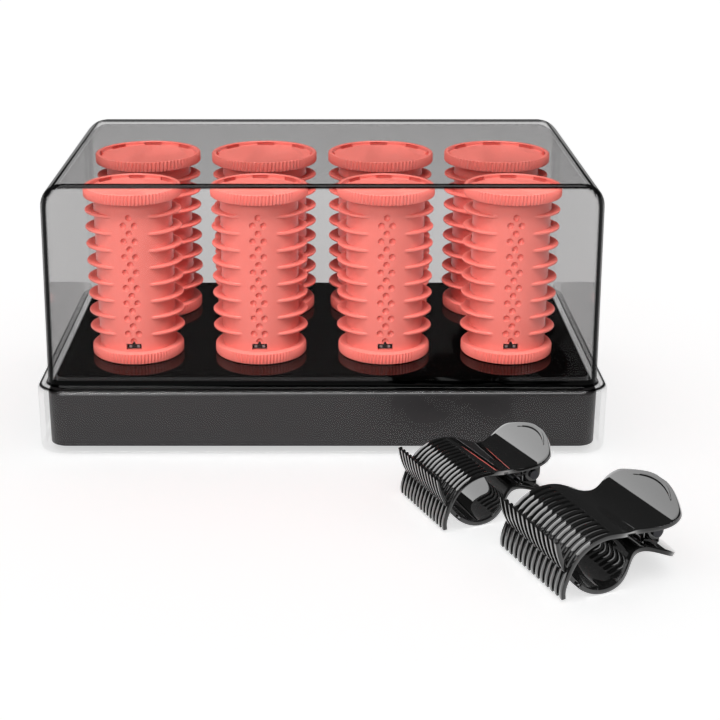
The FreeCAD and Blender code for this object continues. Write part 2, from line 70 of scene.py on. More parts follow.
# the cover is a box on a wider skirt, and the shoulder is the step between them
SHOULDER_TOP = 27.2
SHOULDER_RADIUS = 1.9
SHOULDER_FILLET = 0.9
COVER_WALL = 2.0
COVER_HALF = (105.45, 61.85)  # half width and half depth of the box at the roof
COVER_DRAFT = 1.32  # how far each wall of the box stands out at its foot
COVER_CORNER = 7.0
COVER_MIDDLE = 60.0  # a height inside the cover, to tell its outer face from its inner one
ROOF_SIDE_RADIUS = 10.0
ROOF_FRONT_RADIUS = 1.9
SKIRT_CORNER = 10.5
SKIRT_LIP = 0.4
PAINTED_SHADE_FOOT = 2.6  # height of the painted shade band at the foot of the front wall
NOTCH_HALF = 9.0
NOTCH_TOP = 21.5

BASE_CORNER = 7.0
BASE_EDGE = 1.7
BASE_WALL = 2.5
BASE_RIM = 6.9
GLAND_RADIUS = 5.6
GLAND_HEIGHT = 13.0

# heights on a roller are above the deck
FIN_COUNT = 8
FIN_FIRST = 11.2
FIN_PITCH = 6.8
FIN_OPEN_ANGLE = 28.0
SHELL_WALL = 2.1
DIMPLE_ROWS = 9
DIMPLE_FIRST = 9.0
DIMPLE_LAST = 58.9
DIMPLE_APART = 2.15  # from the middle column to the next one, round the core
DIMPLE_RADIUS = 1.36
DIMPLE_LIFT = 0.02
WINDOW_HALF = 2.95
WINDOW_SILL = 5.3
WINDOW_LINTEL = 7.9
CONTACT_APART = 1.55
CONTACT_HALF = 0.55
CONTACT_FOOT = 5.75
CONTACT_TOP = 6.75
CAP_RIM = 1.75
CAP_RECESS = 1.5
CAP_SLOTS = 8
CAP_SLOT_HALF_ANGLE = 10.5
KNURLS = 84
POINTS_PER_KNURL = 6

QUARTER_TURN = range(0, 91, 18)


# ---- mesh helpers ------------------------------------------------------------------------
def as_mesh(name, bm):
    """Turns a bmesh in millimetres into a mesh in metres."""
    bmesh.ops.recalc_face_normals(bm, faces=bm.faces)
    mesh = bpy.data.meshes.new(name)
    bm.to_mesh(mesh)
    bm.free()
    mesh.transform(Matrix.Scale(MM, 4))
    return mesh


def place_mesh(name, mesh, body, material, sharp, replaces, at=(0, 0, 0)):
    """Makes a piece of the mesh, at a place in millimetres, that rides on a body."""
    mesh.shade_smooth()
    mesh.set_sharp_from_angle(angle=radians(sharp))
    mesh.materials.clear()
    mesh.materials.append(material)
    piece = bpy.data.objects.new(name, mesh)
    bpy.context.scene.collection.objects.link(piece)
    piece.location = Vector(at) * MM
    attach(piece, body)
    if replaces:
        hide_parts(*replaces)


def loft(bm, rings, cap_ends=False, loop=False):
    """Skins a list of closed rings of points that have equal counts."""
    rows = [[bm.verts.new(p) for p in ring] for ring in rings]
    count = len(rows[0])
    pairs = list(zip(rows, rows[1:]))
    if loop:
        pairs.append((rows[-1], rows[0]))
    for low, high in pairs:
        for i in range(count):
            j = (i + 1) % count
            bm.faces.new((low[i], low[j], high[j], high[i]))
    if cap_ends:
        bm.faces.new(rows[0][::-1])
        bm.faces.new(rows[-1])


def plan_ring(half_x, half_y, corner, z):
    """Rounded rectangle ring at height z."""
    steps = 12
    ring = []
    for index, (sx, sy) in enumerate(((1, 1), (-1, 1), (-1, -1), (1, -1))):
        for k in range(steps + 1):
            turn = pi / 2 * (index + k / steps)
            ring.append(Vector((sx * (half_x - corner) + corner * cos(turn),
                                sy * (half_y - corner) + corner * sin(turn), z)))
    return ring


def round_ring(radius, z, count, wave=0.0):
    """Circle ring at height z; wave is the depth of the upright knurl grooves in it."""
    ring = []
    for i in range(count):
        turn = 2 * pi * i / count
        groove = wave * (0.5 - 0.5 * cos(KNURLS * turn))
        ring.append(Vector(((radius - groove) * cos(turn), (radius - groove) * sin(turn), z)))
    return ring


def block(bm, low, high):
    """Box between two corners."""
    plan = ((low[0], low[1]), (high[0], low[1]), (high[0], high[1]), (low[0], high[1]))
    rings = [[Vector((x, y, z)) for x, y in plan] for z in (low[2], high[2])]
    loft(bm, rings, cap_ends=True)


def cut(bm, cutter):
    """Takes the closed cutter mesh out of bm with an exact boolean; both are in millimetres."""
    bmesh.ops.recalc_face_normals(bm, faces=bm.faces)
    bmesh.ops.recalc_face_normals(cutter, faces=cutter.faces)
    pair = []
    for label, part in (("cut_body", bm), ("cut_tool", cutter)):
        mesh = bpy.data.meshes.new(label)
        part.to_mesh(mesh)
        part.free()
        thing = bpy.data.objects.new(label, mesh)
        bpy.context.scene.collection.objects.link(thing)
        pair.append(thing)
    modifier = pair[0].modifiers.new("cut", "BOOLEAN")
    modifier.operation = "DIFFERENCE"
    modifier.solver = "EXACT"
    modifier.object = pair[1]
    result = evaluated(pair[0])
    for thing in pair:
        old = thing.data
        bpy.data.objects.remove(thing)
        bpy.data.meshes.remove(old)
    return result


def evaluated(thing):
    """A bmesh of the object with its modifiers applied."""
    bpy.context.view_layer.update()
    graph = bpy.context.evaluated_depsgraph_get()
    mesh = bpy.data.meshes.new_from_object(thing.evaluated_get(graph))
    result = bmesh.new()
    result.from_mesh(mesh)
    bpy.data.meshes.remove(mesh)
    return result


def smooth_line(points, count):
    """Evenly spaced points on a natural cubic spline through the given (x, z) points."""
    points = np.array(points, float)
    steps = np.hypot(*np.diff(points, axis=0).T)
    at = np.concatenate(([0], np.cumsum(steps)))
    n = len(at)
    system, right = np.eye(n), np.zeros((n, 2))
    for i in range(1, n - 1):
        a, b = at[i] - at[i - 1], at[i + 1] - at[i]
        system[i, i - 1:i + 2] = a, 2 * (a + b), b
        right[i] = 6 * ((points[i + 1] - points[i]) / b - (points[i] - points[i - 1]) / a)
    bend = np.linalg.solve(system, right)

    def value(t):
        i = int(min(max(np.searchsorted(at, t) - 1, 0), n - 2))
        h, u, v = at[i + 1] - at[i], at[i + 1] - t, t - at[i]
        curve = (bend[i] * u ** 3 + bend[i + 1] * v ** 3) / (6 * h)
        from_start = (points[i] / h - bend[i] * h / 6) * u
        from_end = (points[i + 1] / h - bend[i + 1] * h / 6) * v
        return curve + from_start + from_end

    return [tuple(value(t)) for t in np.linspace(0, at[-1], count)]


# ---- materials ---------------------------------------------------------------------------
MIX_A, MIX_B = 6, 7  # colour inputs of a mix node
MIX_RESULT = 2  # its colour output
WHITE = (1, 1, 1, 1)


def new_material(name):
    """An empty material, its node tree and its output node."""
    material = bpy.data.materials.new(name)
    material.use_nodes = True
    tree = material.node_tree
    tree.nodes.clear()
    output = tree.nodes.new("ShaderNodeOutputMaterial")
    return material, tree, output


def add(tree, kind, **values):
    """Adds a node; keys that are sockets set the socket, the others set a property."""
    node = tree.nodes.new(kind)
    for key, value in values.items():
        if key in node.inputs:
            node.inputs[key].default_value = value
        else:
            setattr(node, key, value)
    return node


def speckled_colour(tree, colour, spread, scale):
    """A faint cloudy change of tone: the coordinates node and the colour socket."""
    where = add(tree, "ShaderNodeTexCoord")
    noise = add(tree, "ShaderNodeTexNoise", Scale=scale, Detail=3.0)
    tree.links.new(where.outputs["Object"], noise.inputs["Vector"])
    ramp = add(tree, "ShaderNodeValToRGB")
    ramp.color_ramp.elements[0].position = 0.3
    ramp.color_ramp.elements[1].position = 0.7
    ramp.color_ramp.elements[0].color = [c * (1 - spread) for c in colour] + [1]
    ramp.color_ramp.elements[1].color = [min(1, c * (1 + spread)) for c in colour] + [1]
    tree.links.new(noise.outputs["Fac"], ramp.inputs["Fac"])
    return where, ramp.outputs["Color"]


def plastic(name, colour, roughness, spread=0.03, bump=0.02, rough_spread=0.05, ior=1.47,
            subsurface=0.0, metallic=0.0):
    """Moulded plastic or metal: tone clouds, uneven gloss and a fine surface grain."""
    cloud, smear, grain = 60.0, 35.0, 900.0
    material, tree, output = new_material(name)
    shader = add(tree, "ShaderNodeBsdfPrincipled")
    shader.inputs["IOR"].default_value = ior
    shader.inputs["Metallic"].default_value = metallic
    shader.inputs["Subsurface Weight"].default_value = subsurface
    shader.inputs["Subsurface Radius"].default_value = (1.0, 0.35, 0.25)
    shader.inputs["Subsurface Scale"].default_value = 0.0015
    where, colour_out = speckled_colour(tree, colour, spread, cloud)
    tree.links.new(colour_out, shader.inputs["Base Color"])
    gloss_noise = add(tree, "ShaderNodeTexNoise", Scale=smear, Detail=4.0)
    tree.links.new(where.outputs["Object"], gloss_noise.inputs["Vector"])
    gloss = add(tree, "ShaderNodeMapRange")
    gloss.inputs["To Min"].default_value = max(0.0, roughness - rough_spread)
    gloss.inputs["To Max"].default_value = roughness + rough_spread
    tree.links.new(gloss_noise.outputs["Fac"], gloss.inputs["Value"])
    tree.links.new(gloss.outputs["Result"], shader.inputs["Roughness"])
    fine = add(tree, "ShaderNodeTexNoise", Scale=grain, Detail=2.0)
    tree.links.new(where.outputs["Object"], fine.inputs["Vector"])
    relief = add(tree, "ShaderNodeBump", Strength=bump, Distance=0.0002)
    tree.links.new(fine.outputs["Fac"], relief.inputs["Height"])
    tree.links.new(relief.outputs["Normal"], shader.inputs["Normal"])
    tree.links.new(shader.outputs["BSDF"], output.inputs["Surface"])
    return material


def clear_plastic(name, clear, edge):
    """Smoke-tinted clear wall, with painted shade where its vertex layer marks the rounded edges, the
    step to the skirt and the foot of the front wall, and darker where it is seen edge on.
    """
    material, tree, output = new_material(name)
    facing = add(tree, "ShaderNodeLayerWeight", Blend=0.5).outputs["Facing"]
    rim = add(tree, "ShaderNodeMapRange", interpolation_type="SMOOTHSTEP")
    rim.inputs["From Min"].default_value = 0.87
    rim.inputs["From Max"].default_value = 0.97
    rim.inputs["To Max"].default_value = 0.8
    tree.links.new(facing, rim.inputs["Value"])
    # painted shade: a vertex layer that darkens the wall towards the near-black edge colour
    painted = add(tree, "ShaderNodeAttribute", attribute_name="dark_edge")
    band = add(tree, "ShaderNodeMath", operation="MAXIMUM")
    tree.links.new(rim.outputs["Result"], band.inputs[0])
    tree.links.new(painted.outputs["Fac"], band.inputs[1])
    where = add(tree, "ShaderNodeTexCoord")
    cloud = add(tree, "ShaderNodeTexNoise", Scale=8.0, Detail=2.0)
    tree.links.new(where.outputs["Object"], cloud.inputs["Vector"])
    tone = add(tree, "ShaderNodeMix", data_type="RGBA")
    tone.inputs[MIX_A].default_value = [c * 0.99 for c in clear] + [1]
    tone.inputs[MIX_B].default_value = [min(1, c * 1.01) for c in clear] + [1]
    tree.links.new(cloud.outputs["Fac"], tone.inputs[0])
    slant = add(tree, "ShaderNodeMapRange")
    slant.inputs["From Min"].default_value = 0.3
    slant.inputs["From Max"].default_value = 0.7
    slant.inputs["To Min"].default_value = 1.0
    slant.inputs["To Max"].default_value = 0.87
    tree.links.new(facing, slant.inputs["Value"])
    longer = add(tree, "ShaderNodeVectorMath", operation="SCALE")
    tree.links.new(tone.outputs[MIX_RESULT], longer.inputs[0])
    tree.links.new(slant.outputs["Result"], longer.inputs["Scale"])
    thin = add(tree, "ShaderNodeAttribute", attribute_name="pale_skirt")
    body = add(tree, "ShaderNodeMix", data_type="RGBA")
    body.inputs[MIX_B].default_value = (0.955, 0.955, 0.955, 1)
    tree.links.new(thin.outputs["Fac"], body.inputs[0])
    tree.links.new(longer.outputs[0], body.inputs[MIX_A])
    # the edge colour is the near-black of the painted shade and of the edge-on rim
    tint = add(tree, "ShaderNodeMix", data_type="RGBA")
    tint.inputs[MIX_B].default_value = list(edge) + [1]
    tree.links.new(band.outputs[0], tint.inputs[0])
    tree.links.new(body.outputs[MIX_RESULT], tint.inputs[MIX_A])
    through = add(tree, "ShaderNodeBsdfTransparent")
    tree.links.new(tint.outputs[MIX_RESULT], through.inputs["Color"])
    gloss = add(tree, "ShaderNodeBsdfGlossy", Roughness=0.03)
    gloss.inputs["Color"].default_value = WHITE
    mix = add(tree, "ShaderNodeMixShader")
    tree.links.new(gloss_share(tree, facing, face_on=0.004, gain=0.3), mix.inputs[0])
    tree.links.new(through.outputs[0], mix.inputs[1])
    tree.links.new(gloss.outputs[0], mix.inputs[2])
    tree.links.new(mix.outputs[0], output.inputs["Surface"])
    return material


def gloss_share(tree, facing, face_on, gain, steep=5.0):
    """Share of light mirrored: face_on straight on, rising by gain towards grazing."""
    power = add(tree, "ShaderNodeMath", operation="POWER")
    power.inputs[1].default_value = steep
    tree.links.new(facing, power.inputs[0])
    mirror = add(tree, "ShaderNodeMath", operation="MULTIPLY_ADD")
    mirror.inputs[1].default_value = gain
    mirror.inputs[2].default_value = face_on
    tree.links.new(power.outputs[0], mirror.inputs[0])
    return mirror.outputs[0]


def lacquer(name, colour, face_on, gain, roughness, steep=5.0):
    """Polished black moulding: a dull dark body under a weak mirror layer."""
    material, tree, output = new_material(name)
    body = add(tree, "ShaderNodeBsdfDiffuse")
    where, colour_out = speckled_colour(tree, colour, 0.08, 40.0)
    tree.links.new(colour_out, body.inputs["Color"])
    gloss = add(tree, "ShaderNodeBsdfGlossy")
    gloss.inputs["Color"].default_value = WHITE
    smear = add(tree, "ShaderNodeTexNoise", Scale=25.0, Detail=4.0)
    tree.links.new(where.outputs["Object"], smear.inputs["Vector"])
    rough = add(tree, "ShaderNodeMapRange")
    rough.inputs["To Min"].default_value = roughness * 0.6
    rough.inputs["To Max"].default_value = roughness * 1.4
    tree.links.new(smear.outputs["Fac"], rough.inputs["Value"])
    tree.links.new(rough.outputs["Result"], gloss.inputs["Roughness"])
    facing = add(tree, "ShaderNodeLayerWeight", Blend=0.5).outputs["Facing"]
    mix = add(tree, "ShaderNodeMixShader")
    tree.links.new(gloss_share(tree, facing, face_on, gain, steep), mix.inputs[0])
    tree.links.new(body.outputs[0], mix.inputs[1])
    tree.links.new(gloss.outputs[0], mix.inputs[2])
    tree.links.new(mix.outputs[0], output.inputs["Surface"])
    return material


CORAL = plastic("coral_plastic", (0.95, 0.23, 0.19), 0.4, spread=0.02, subsurface=0.12,
                bump=0.03)
CHARCOAL = plastic("charcoal_plastic", (0.012, 0.0108, 0.0113), 0.36, bump=0.003, rough_spread=0.02,
                   ior=1.43)
BLACK_GLOSS = lacquer("black_gloss", (0.004, 0.0032, 0.003), face_on=0.035, gain=0.3,
                      roughness=0.05)
CLIP_BLACK = lacquer("clip_black", (0.003, 0.003, 0.003), face_on=0.04, gain=0.9,
                     roughness=0.03, steep=2.2)
INNER_BLACK = plastic("inner_black", (0.012, 0.012, 0.012), 0.5)
CONTACT_GREY = plastic("contact_grey", (0.3, 0.3, 0.3), 0.35)
ALUMINIUM = plastic("aluminium", (0.72, 0.72, 0.73), 0.3, metallic=1.0, bump=0.05)
DARK_STEEL = plastic("dark_steel", (0.05, 0.05, 0.055), 0.35, metallic=1.0)
STEEL = plastic("steel", (0.5, 0.5, 0.52), 0.28, metallic=1.0)
RUBBER = plastic("rubber", (0.02, 0.02, 0.02), 0.75, bump=0.1)
COVER_CLEAR = clear_plastic("cover_clear", (0.845, 0.842, 0.842), (0.012, 0.012, 0.0125))


# ---- cover -------------------------------------------------------------------------------
def cover_wall_rings(inset, z_low):
    """Rings of the upper box from z_low to the roof, at a distance inside the outer face."""
    top = COVER_TOP - inset
    side = ROOF_SIDE_RADIUS - inset
    least_radius, steps, fade, corner_loss = 0.5, 4, 0.4, 0.75
    front = max(least_radius, ROOF_FRONT_RADIUS - inset)
    levels = [z_low + (top - side - z_low) * k / steps for k in range(steps + 1)]
    levels += [top - side + side * sin(radians(a)) for a in range(10, 51, 10)]
    levels += [top - front + front * sin(radians(a)) for a in QUARTER_TURN]
    # rings at the top of the painted shade band on the front wall's foot, and a little above it
    levels += [SHOULDER_TOP + PAINTED_SHADE_FOOT, SHOULDER_TOP + PAINTED_SHADE_FOOT + fade]
    rings = []
    for z in sorted(set(round(v, 4) for v in levels)):
        spread = COVER_DRAFT * (COVER_TOP - z) / (COVER_TOP - SHOULDER_TOP)
        half = []
        for size, radius in zip(COVER_HALF, (side, front)):
            rise = max(0.0, z - (top - radius))
            half.append(size + spread - inset - radius + sqrt(max(0.0, radius ** 2 - rise ** 2)))
        share = max(0.0, (z - (top - side)) / side)
        corner = (COVER_CORNER - inset) * (1 - corner_loss * share ** 2)
        rings.append(plan_ring(half[0], half[1], corner, z))
    return rings


def shoulder_painted_shade(x, y, z):
    """Painted shade on the step between the skirt and the box: full in front, half elsewhere."""
    front_band, flat_band, fillet_reach = 0.7, 0.1, 2.4
    beyond_box = max(abs(x) - COVER_HALF[0], abs(y) - COVER_HALF[1])
    if y < 0 and z > SHOULDER_TOP - front_band:
        return 1.0
    if beyond_box < fillet_reach and z > SHOULDER_TOP - flat_band:
        return 0.5
    return 0.0


def rounding_painted_shade(nx, ny, nz, in_front):
    """Painted shade on the box's rounded edges, from the way that the surface there faces."""
    # degrees from facing the front or the back, then from facing a side towards facing up
    turned = degrees(atan2(sqrt(nx * nx + nz * nz), ny))
    risen = degrees(atan2(nz, nx))
    share = risen / 90
    # painted shade is full on the front edges and paler on the back ones
    depth = 1.0 if in_front else 0.15 + 0.75 * share
    # the painted shade band of an upright corner is narrow, and that of a roof edge is wide
    if 36 - 30 * share < turned < 54 + 31 * share:
        return depth
    faces_front = turned < 45
    faces_up = turned > 86 and share > 0.75
    if faces_front or faces_up:
        return 0.0
    if 8 < risen < 78:
        return 1.0 if risen > 56 else 0.85
    if risen <= 8 and turned < 88:
        return 0.7 * depth
    return 0.0


def edge_painted_shade(vertex):
    """Painted shade on the clear wall: how dark it is painted where light would be lost in its thick
    rounded edges, at the step to the skirt and at the foot of its front wall.
    """
    nx, ny, nz = (abs(part) for part in vertex.normal)
    x, y, z = vertex.co
    in_front = y < 0
    if vertex.normal.dot(Vector((x, y, z - COVER_MIDDLE))) < 0:
        return 0.0
    if z < SHOULDER_TOP + 1.0:
        return shoulder_painted_shade(x, y, z)
    # painted shade on the foot of the front wall
    if z < SHOULDER_TOP + PAINTED_SHADE_FOOT + 0.1 and in_front and ny > 0.7:
        return 1.0
    return rounding_painted_shade(nx, ny, nz, in_front)


def skirt_ring(inset, z):
    """Ring of the skirt at height z, at a distance inside its outer face."""
    return plan_ring(skirt_high.x - inset, skirt_high.y - inset, SKIRT_CORNER - inset, z)


def make_cover():
    """Clear cover: one closed wall from the inside of the roof to its outside."""
    bm = bmesh.new()
    wall, lip = COVER_WALL, SKIRT_LIP
    inner = cover_wall_rings(wall, SHOULDER_TOP - wall)[::-1]
    inner += [skirt_ring(wall, SHOULDER_TOP - wall), skirt_ring(wall, SKIRT_BOTTOM + lip)]
    outer = [skirt_ring(wall - lip, SKIRT_BOTTOM), skirt_ring(lip, SKIRT_BOTTOM),
             skirt_ring(0, SKIRT_BOTTOM + lip)]
    r = SHOULDER_RADIUS
    for a in QUARTER_TURN:
        outer.append(skirt_ring(r * (1 - cos(radians(a))), SHOULDER_TOP - r + r * sin(radians(a))))
    foot = COVER_HALF[0] + COVER_DRAFT, COVER_HALF[1] + COVER_DRAFT
    r = SHOULDER_FILLET
    for a in (0, 30, 60):
        out = r * (1 - sin(radians(a)))
        outer.append(plan_ring(foot[0] + out, foot[1] + out, COVER_CORNER + out,
                               SHOULDER_TOP + r * (1 - cos(radians(a)))))
    outer += cover_wall_rings(0, SHOULDER_TOP + r)
    loft(bm, inner + outer, cap_ends=True)
    notch = bmesh.new()
    back, inward, outward, below = skirt_high.y, 6, 2, -1
    block(notch, (-NOTCH_HALF, back - inward, below), (NOTCH_HALF, back + outward, NOTCH_TOP))
    bm = cut(bm, notch)
    bm.normal_update()
    # vertex layers: painted shade for the clear wall, and a paler tint for the skirt
    dark = bm.verts.layers.float.new("dark_edge")
    pale = bm.verts.layers.float.new("pale_skirt")
    for vertex in bm.verts:
        vertex[dark] = edge_painted_shade(vertex)
        vertex[pale] = 1.0 if vertex.co.z < SHOULDER_TOP - 1.0 else 0.0
    place_mesh("cover_shell", as_mesh("cover_shell", bm), "cover", COVER_CLEAR,
               sharp=30, replaces=["cover"])


# ---- base --------------------------------------------------------------------------------
def make_base():
    """Housing: a hollow wall with a rim turned in at the top and a hole for the cord gland."""
    low, top = housing_low.z, housing_high.z
    half_x, half_y = housing_high.x, housing_high.y

    def ring(inset, z):
        return plan_ring(half_x - inset, half_y - inset, max(1.0, BASE_CORNER - inset), z)

    rings = [ring(BASE_WALL, low), ring(0.5, low), ring(0.1, low + 0.2), ring(0, low + 0.6)]
    for a in range(0, 91, 15):
        rings.append(ring(BASE_EDGE * (1 - cos(radians(a))),
                          top - BASE_EDGE + BASE_EDGE * sin(radians(a))))
    under_rim = top - BASE_WALL
    rings += [ring(BASE_RIM, top), ring(BASE_RIM, under_rim), ring(BASE_WALL, under_rim)]
    bm = bmesh.new()
    loft(bm, rings, loop=True)
    hole = bmesh.new()
    half_count, half_depth = 16, 6
    circle = [Vector((GLAND_RADIUS * cos(k * pi / half_count), 0,
                      GLAND_HEIGHT + GLAND_RADIUS * sin(k * pi / half_count)))
              for k in range(2 * half_count)]
    loft(hole, [[p + Vector((0, half_y + d, 0)) for p in circle]
                for d in (-half_depth, half_depth)], cap_ends=True)
    bm = cut(bm, hole)
    place_mesh("housing_shell", as_mesh("housing_shell", bm), "base", CHARCOAL,
               sharp=40, replaces=["base_housing"])


# ---- rollers -----------------------------------------------------------------------------
def fin_radius(turn, core, reach):
    """Plan outline of a pair of crescent fins round a core, open at the front and the back."""
    open_side = cos(radians(90 - FIN_OPEN_ANGLE))
    offset = (reach ** 2 - core ** 2) / (2 * (reach - core * open_side))
    radius = reach - offset
    across = radius ** 2 - (offset * sin(turn)) ** 2
    return max(core, abs(offset * cos(turn)) + sqrt(across))


def dome_cutter(bm, place, radius):
    """Adds a small ball, to cut a dimple with."""
    sphere = bmesh.ops.create_icosphere(bm, subdivisions=2, radius=radius)
    bmesh.ops.translate(bm, verts=sphere["verts"], vec=place)


def finned_rings(core, reach, low, high, columns):
    """Rings of the outer face, which swells from the core to each fin's edge and back."""
    # upper half of a fin: (height above its middle, share of its reach)
    half_fin = ((0.2, 1.0), (0.42, 0.96), (0.52, 0.75), (0.66, 0.03), (0.95, 0.0))
    rows = [(low, 0.0)]
    for index in range(FIN_COUNT):
        middle = DECK_TOP + FIN_FIRST + index * FIN_PITCH
        rows += [(middle - dz, share) for dz, share in half_fin[::-1]]
        rows += [(middle + dz, share) for dz, share in half_fin]
    rows.append((high, 0.0))
    outline = [fin_radius(2 * pi * i / columns, core, reach) for i in range(columns)]
    rings = []
    for z, share in rows:
        rings.append([Vector(((core + share * (r - core)) * cos(2 * pi * i / columns),
                              (core + share * (r - core)) * sin(2 * pi * i / columns), z))
                      for i, r in enumerate(outline)])
    return rings


def dimple_cutter(core):
    """Balls for the front and the back: a middle column and one on each side, half a step up."""
    tool = bmesh.new()
    ball = core + DIMPLE_LIFT
    first, last = DECK_TOP + DIMPLE_FIRST, DECK_TOP + DIMPLE_LAST
    step = (last - first) / (DIMPLE_ROWS - 1)
    for face in (-1, 1):
        for index in range(DIMPLE_ROWS):
            dome_cutter(tool, (0, face * ball, first + index * step), DIMPLE_RADIUS)
        for index in range(DIMPLE_ROWS - 1):
            for side in (-1, 1):
                turn = side * DIMPLE_APART / core
                dome_cutter(tool, (ball * sin(turn), face * ball * cos(turn),
                                   first + (index + 0.5) * step), DIMPLE_RADIUS)
    return tool


def window_cutter(core, bore):
    """Block as wide as the window, with a small peak in the middle of its top."""
    tool = bmesh.new()
    half, sill, lintel = WINDOW_HALF, DECK_TOP + WINDOW_SILL, DECK_TOP + WINDOW_LINTEL
    peak_half, peak = 0.7, 0.8
    profile = [(-half, sill), (half, sill), (half, lintel), (peak_half, lintel),
               (0, lintel + peak), (-peak_half, lintel), (-half, lintel)]
    ends = (-core - 2, -bore + 2)
    loft(tool, [[Vector((x, y, z)) for x, z in profile] for y in ends], cap_ends=True)
    return tool


def shell_mesh(core, reach, low, high):
    """Finned tube with its columns of dimples and the window, about its own axis."""
    columns = 144
    bore = core - SHELL_WALL
    inside = [round_ring(bore, low, columns)], [round_ring(bore, high, columns)]
    bm = bmesh.new()
    loft(bm, inside[0] + finned_rings(core, reach, low, high, columns) + inside[1], loop=True)
    bm = cut(bm, dimple_cutter(core))
    return cut(bm, window_cutter(core, bore))


def knurled_rings(profile, depth):
    """Rings from a list of (radius, height, share of the knurls' depth)."""
    count = KNURLS * POINTS_PER_KNURL
    return [round_ring(radius, z, count, depth * share) for radius, z, share in profile]


def cap_mesh(radius, low, high):
    """Knurled end disc with a sunk top and slots round the foot of the rim."""
    inner, floor = radius - CAP_RIM, high - CAP_RECESS
    profile = [(radius - 4, low, 0), (radius - 0.9, low, 0), (radius - 0.35, low + 0.15, 0.4),
               (radius, low + 0.5, 1), (radius, high - 0.5, 1), (radius - 0.3, high - 0.12, 0.5),
               (radius - 0.6, high, 0), (inner + 0.25, high, 0), (inner, high - 0.25, 0),
               (inner - 0.1, floor + 0.15, 0), (inner - 0.35, floor, 0)]
    bm = bmesh.new()
    loft(bm, knurled_rings(profile, depth=0.75), cap_ends=True)
    near, far, under, over = inner - 1.0, inner + 0.75, floor - 1.1, high - 0.45
    section = (near, under), (far, under), (far, over), (near, over)
    tool = bmesh.new()
    for index in range(CAP_SLOTS):
        middle = pi / 2 + index * 2 * pi / CAP_SLOTS
        rings = []
        for k in range(7):
            turn = middle + radians(CAP_SLOT_HALF_ANGLE) * (k / 3 - 1)
            rings.append([Vector((r * cos(turn), r * sin(turn), z)) for r, z in section])
        loft(tool, rings, cap_ends=True)
    return cut(bm, tool)


def ring_mesh(radius, bore, low, high):
    """Knurled foot ring."""
    profile = [(bore, low, 0), (radius - 1.0, low, 0), (radius - 0.3, low + 0.25, 0.3),
               (radius, low + 0.8, 1), (radius, high - 1.0, 1),
               (radius - 0.4, high - 0.35, 0.4), (radius - 1.3, high, 0), (bore, high, 0)]
    bm = bmesh.new()
    loft(bm, knurled_rings(profile, depth=0.7), loop=True)
    return bm


def window_contacts(core):
    """Two small square contacts that show side by side in the window."""
    bm = bmesh.new()
    face = -(core - SHELL_WALL - 0.1)
    front, back = face - 0.45, face + 0.6
    for side in (-1, 1):
        x = side * CONTACT_APART
        block(bm, (x - CONTACT_HALF, front, DECK_TOP + CONTACT_FOOT),
              (x + CONTACT_HALF, back, DECK_TOP + CONTACT_TOP))
    bmesh.ops.bevel(bm, geom=bm.edges[:], offset=0.12, segments=1, affect="EDGES")
    bmesh.ops.remove_doubles(bm, verts=bm.verts, dist=0.01)
    return bm


def make_rollers():
    """Four rollers in the front row and four in the back row, which share one set of meshes a row."""
    for row in "fb":
        cap_low, cap_high = (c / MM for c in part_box(f"roller_{row}1_cap"))
        shell_low, shell_high = (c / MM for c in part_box(f"roller_{row}1_shell"))
        ring_low, ring_high = (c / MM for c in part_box(f"roller_{row}1_ring"))
        core = (shell_high.y - shell_low.y) / 2
        reach = (shell_high.x - shell_low.x) / 2
        radius = (cap_high.x - cap_low.x) / 2
        ring_radius = (ring_high.x - ring_low.x) / 2
        bore = core - SHELL_WALL
        meshes = {
            "shell": as_mesh(f"{row}_shell", shell_mesh(core, reach, shell_low.z, shell_high.z)),
            "cap": as_mesh(f"{row}_cap", cap_mesh(radius, shell_high.z, cap_high.z)),
            "ring": as_mesh(f"{row}_ring", ring_mesh(ring_radius, bore, ring_low.z, ring_high.z)),
        }
        contacts = as_mesh(f"{row}_contacts", window_contacts(core))
        for number in range(1, 5):
            name = f"roller_{row}{number}"
            low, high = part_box(f"{name}_cap")
            at = (low + high) / 2 / MM
            at.z = 0
            for piece, mesh in meshes.items():
                place_mesh(f"{name}_{piece}_look", mesh, name, CORAL,
                           sharp=32, replaces=[f"{name}_{piece}"], at=at)
            place_mesh(f"{name}_contacts", contacts, name, CONTACT_GREY,
                       sharp=40, replaces=(), at=at)


# ---- clips -------------------------------------------------------------------------------
CLIP_LENGTH = 41.0
CLIP_WALL = 1.5
CLIP_BEVEL = 0.12
TEETH = 14
TOOTH = 1.6
LOWER_TOOTH = 1.1
# side view of each jaw from its mouth to its tab: (x, height)
UPPER_LINE = [(0.6, 0.9), (0.4, 3.4), (1.5, 7.6), (3.4, 12.0), (6.4, 15.9), (10.8, 18.7),
              (16.0, 19.9), (22.0, 19.3), (28.0, 17.6), (33.5, 17.3), (39.0, 19.0),
              (44.5, 22.3), (49.0, 25.9)]
LOWER_LINE = [(-1.7, 20.4), (-0.4, 15.0), (2.0, 9.9), (5.0, 5.7), (9.2, 2.4), (15.0, 0.8),
              (20.6, 2.2), (24.5, 5.0), (27.6, 8.3), (31.8, 10.2), (36.0, 10.0),
              (42.0, 8.0), (48.0, 4.3)]
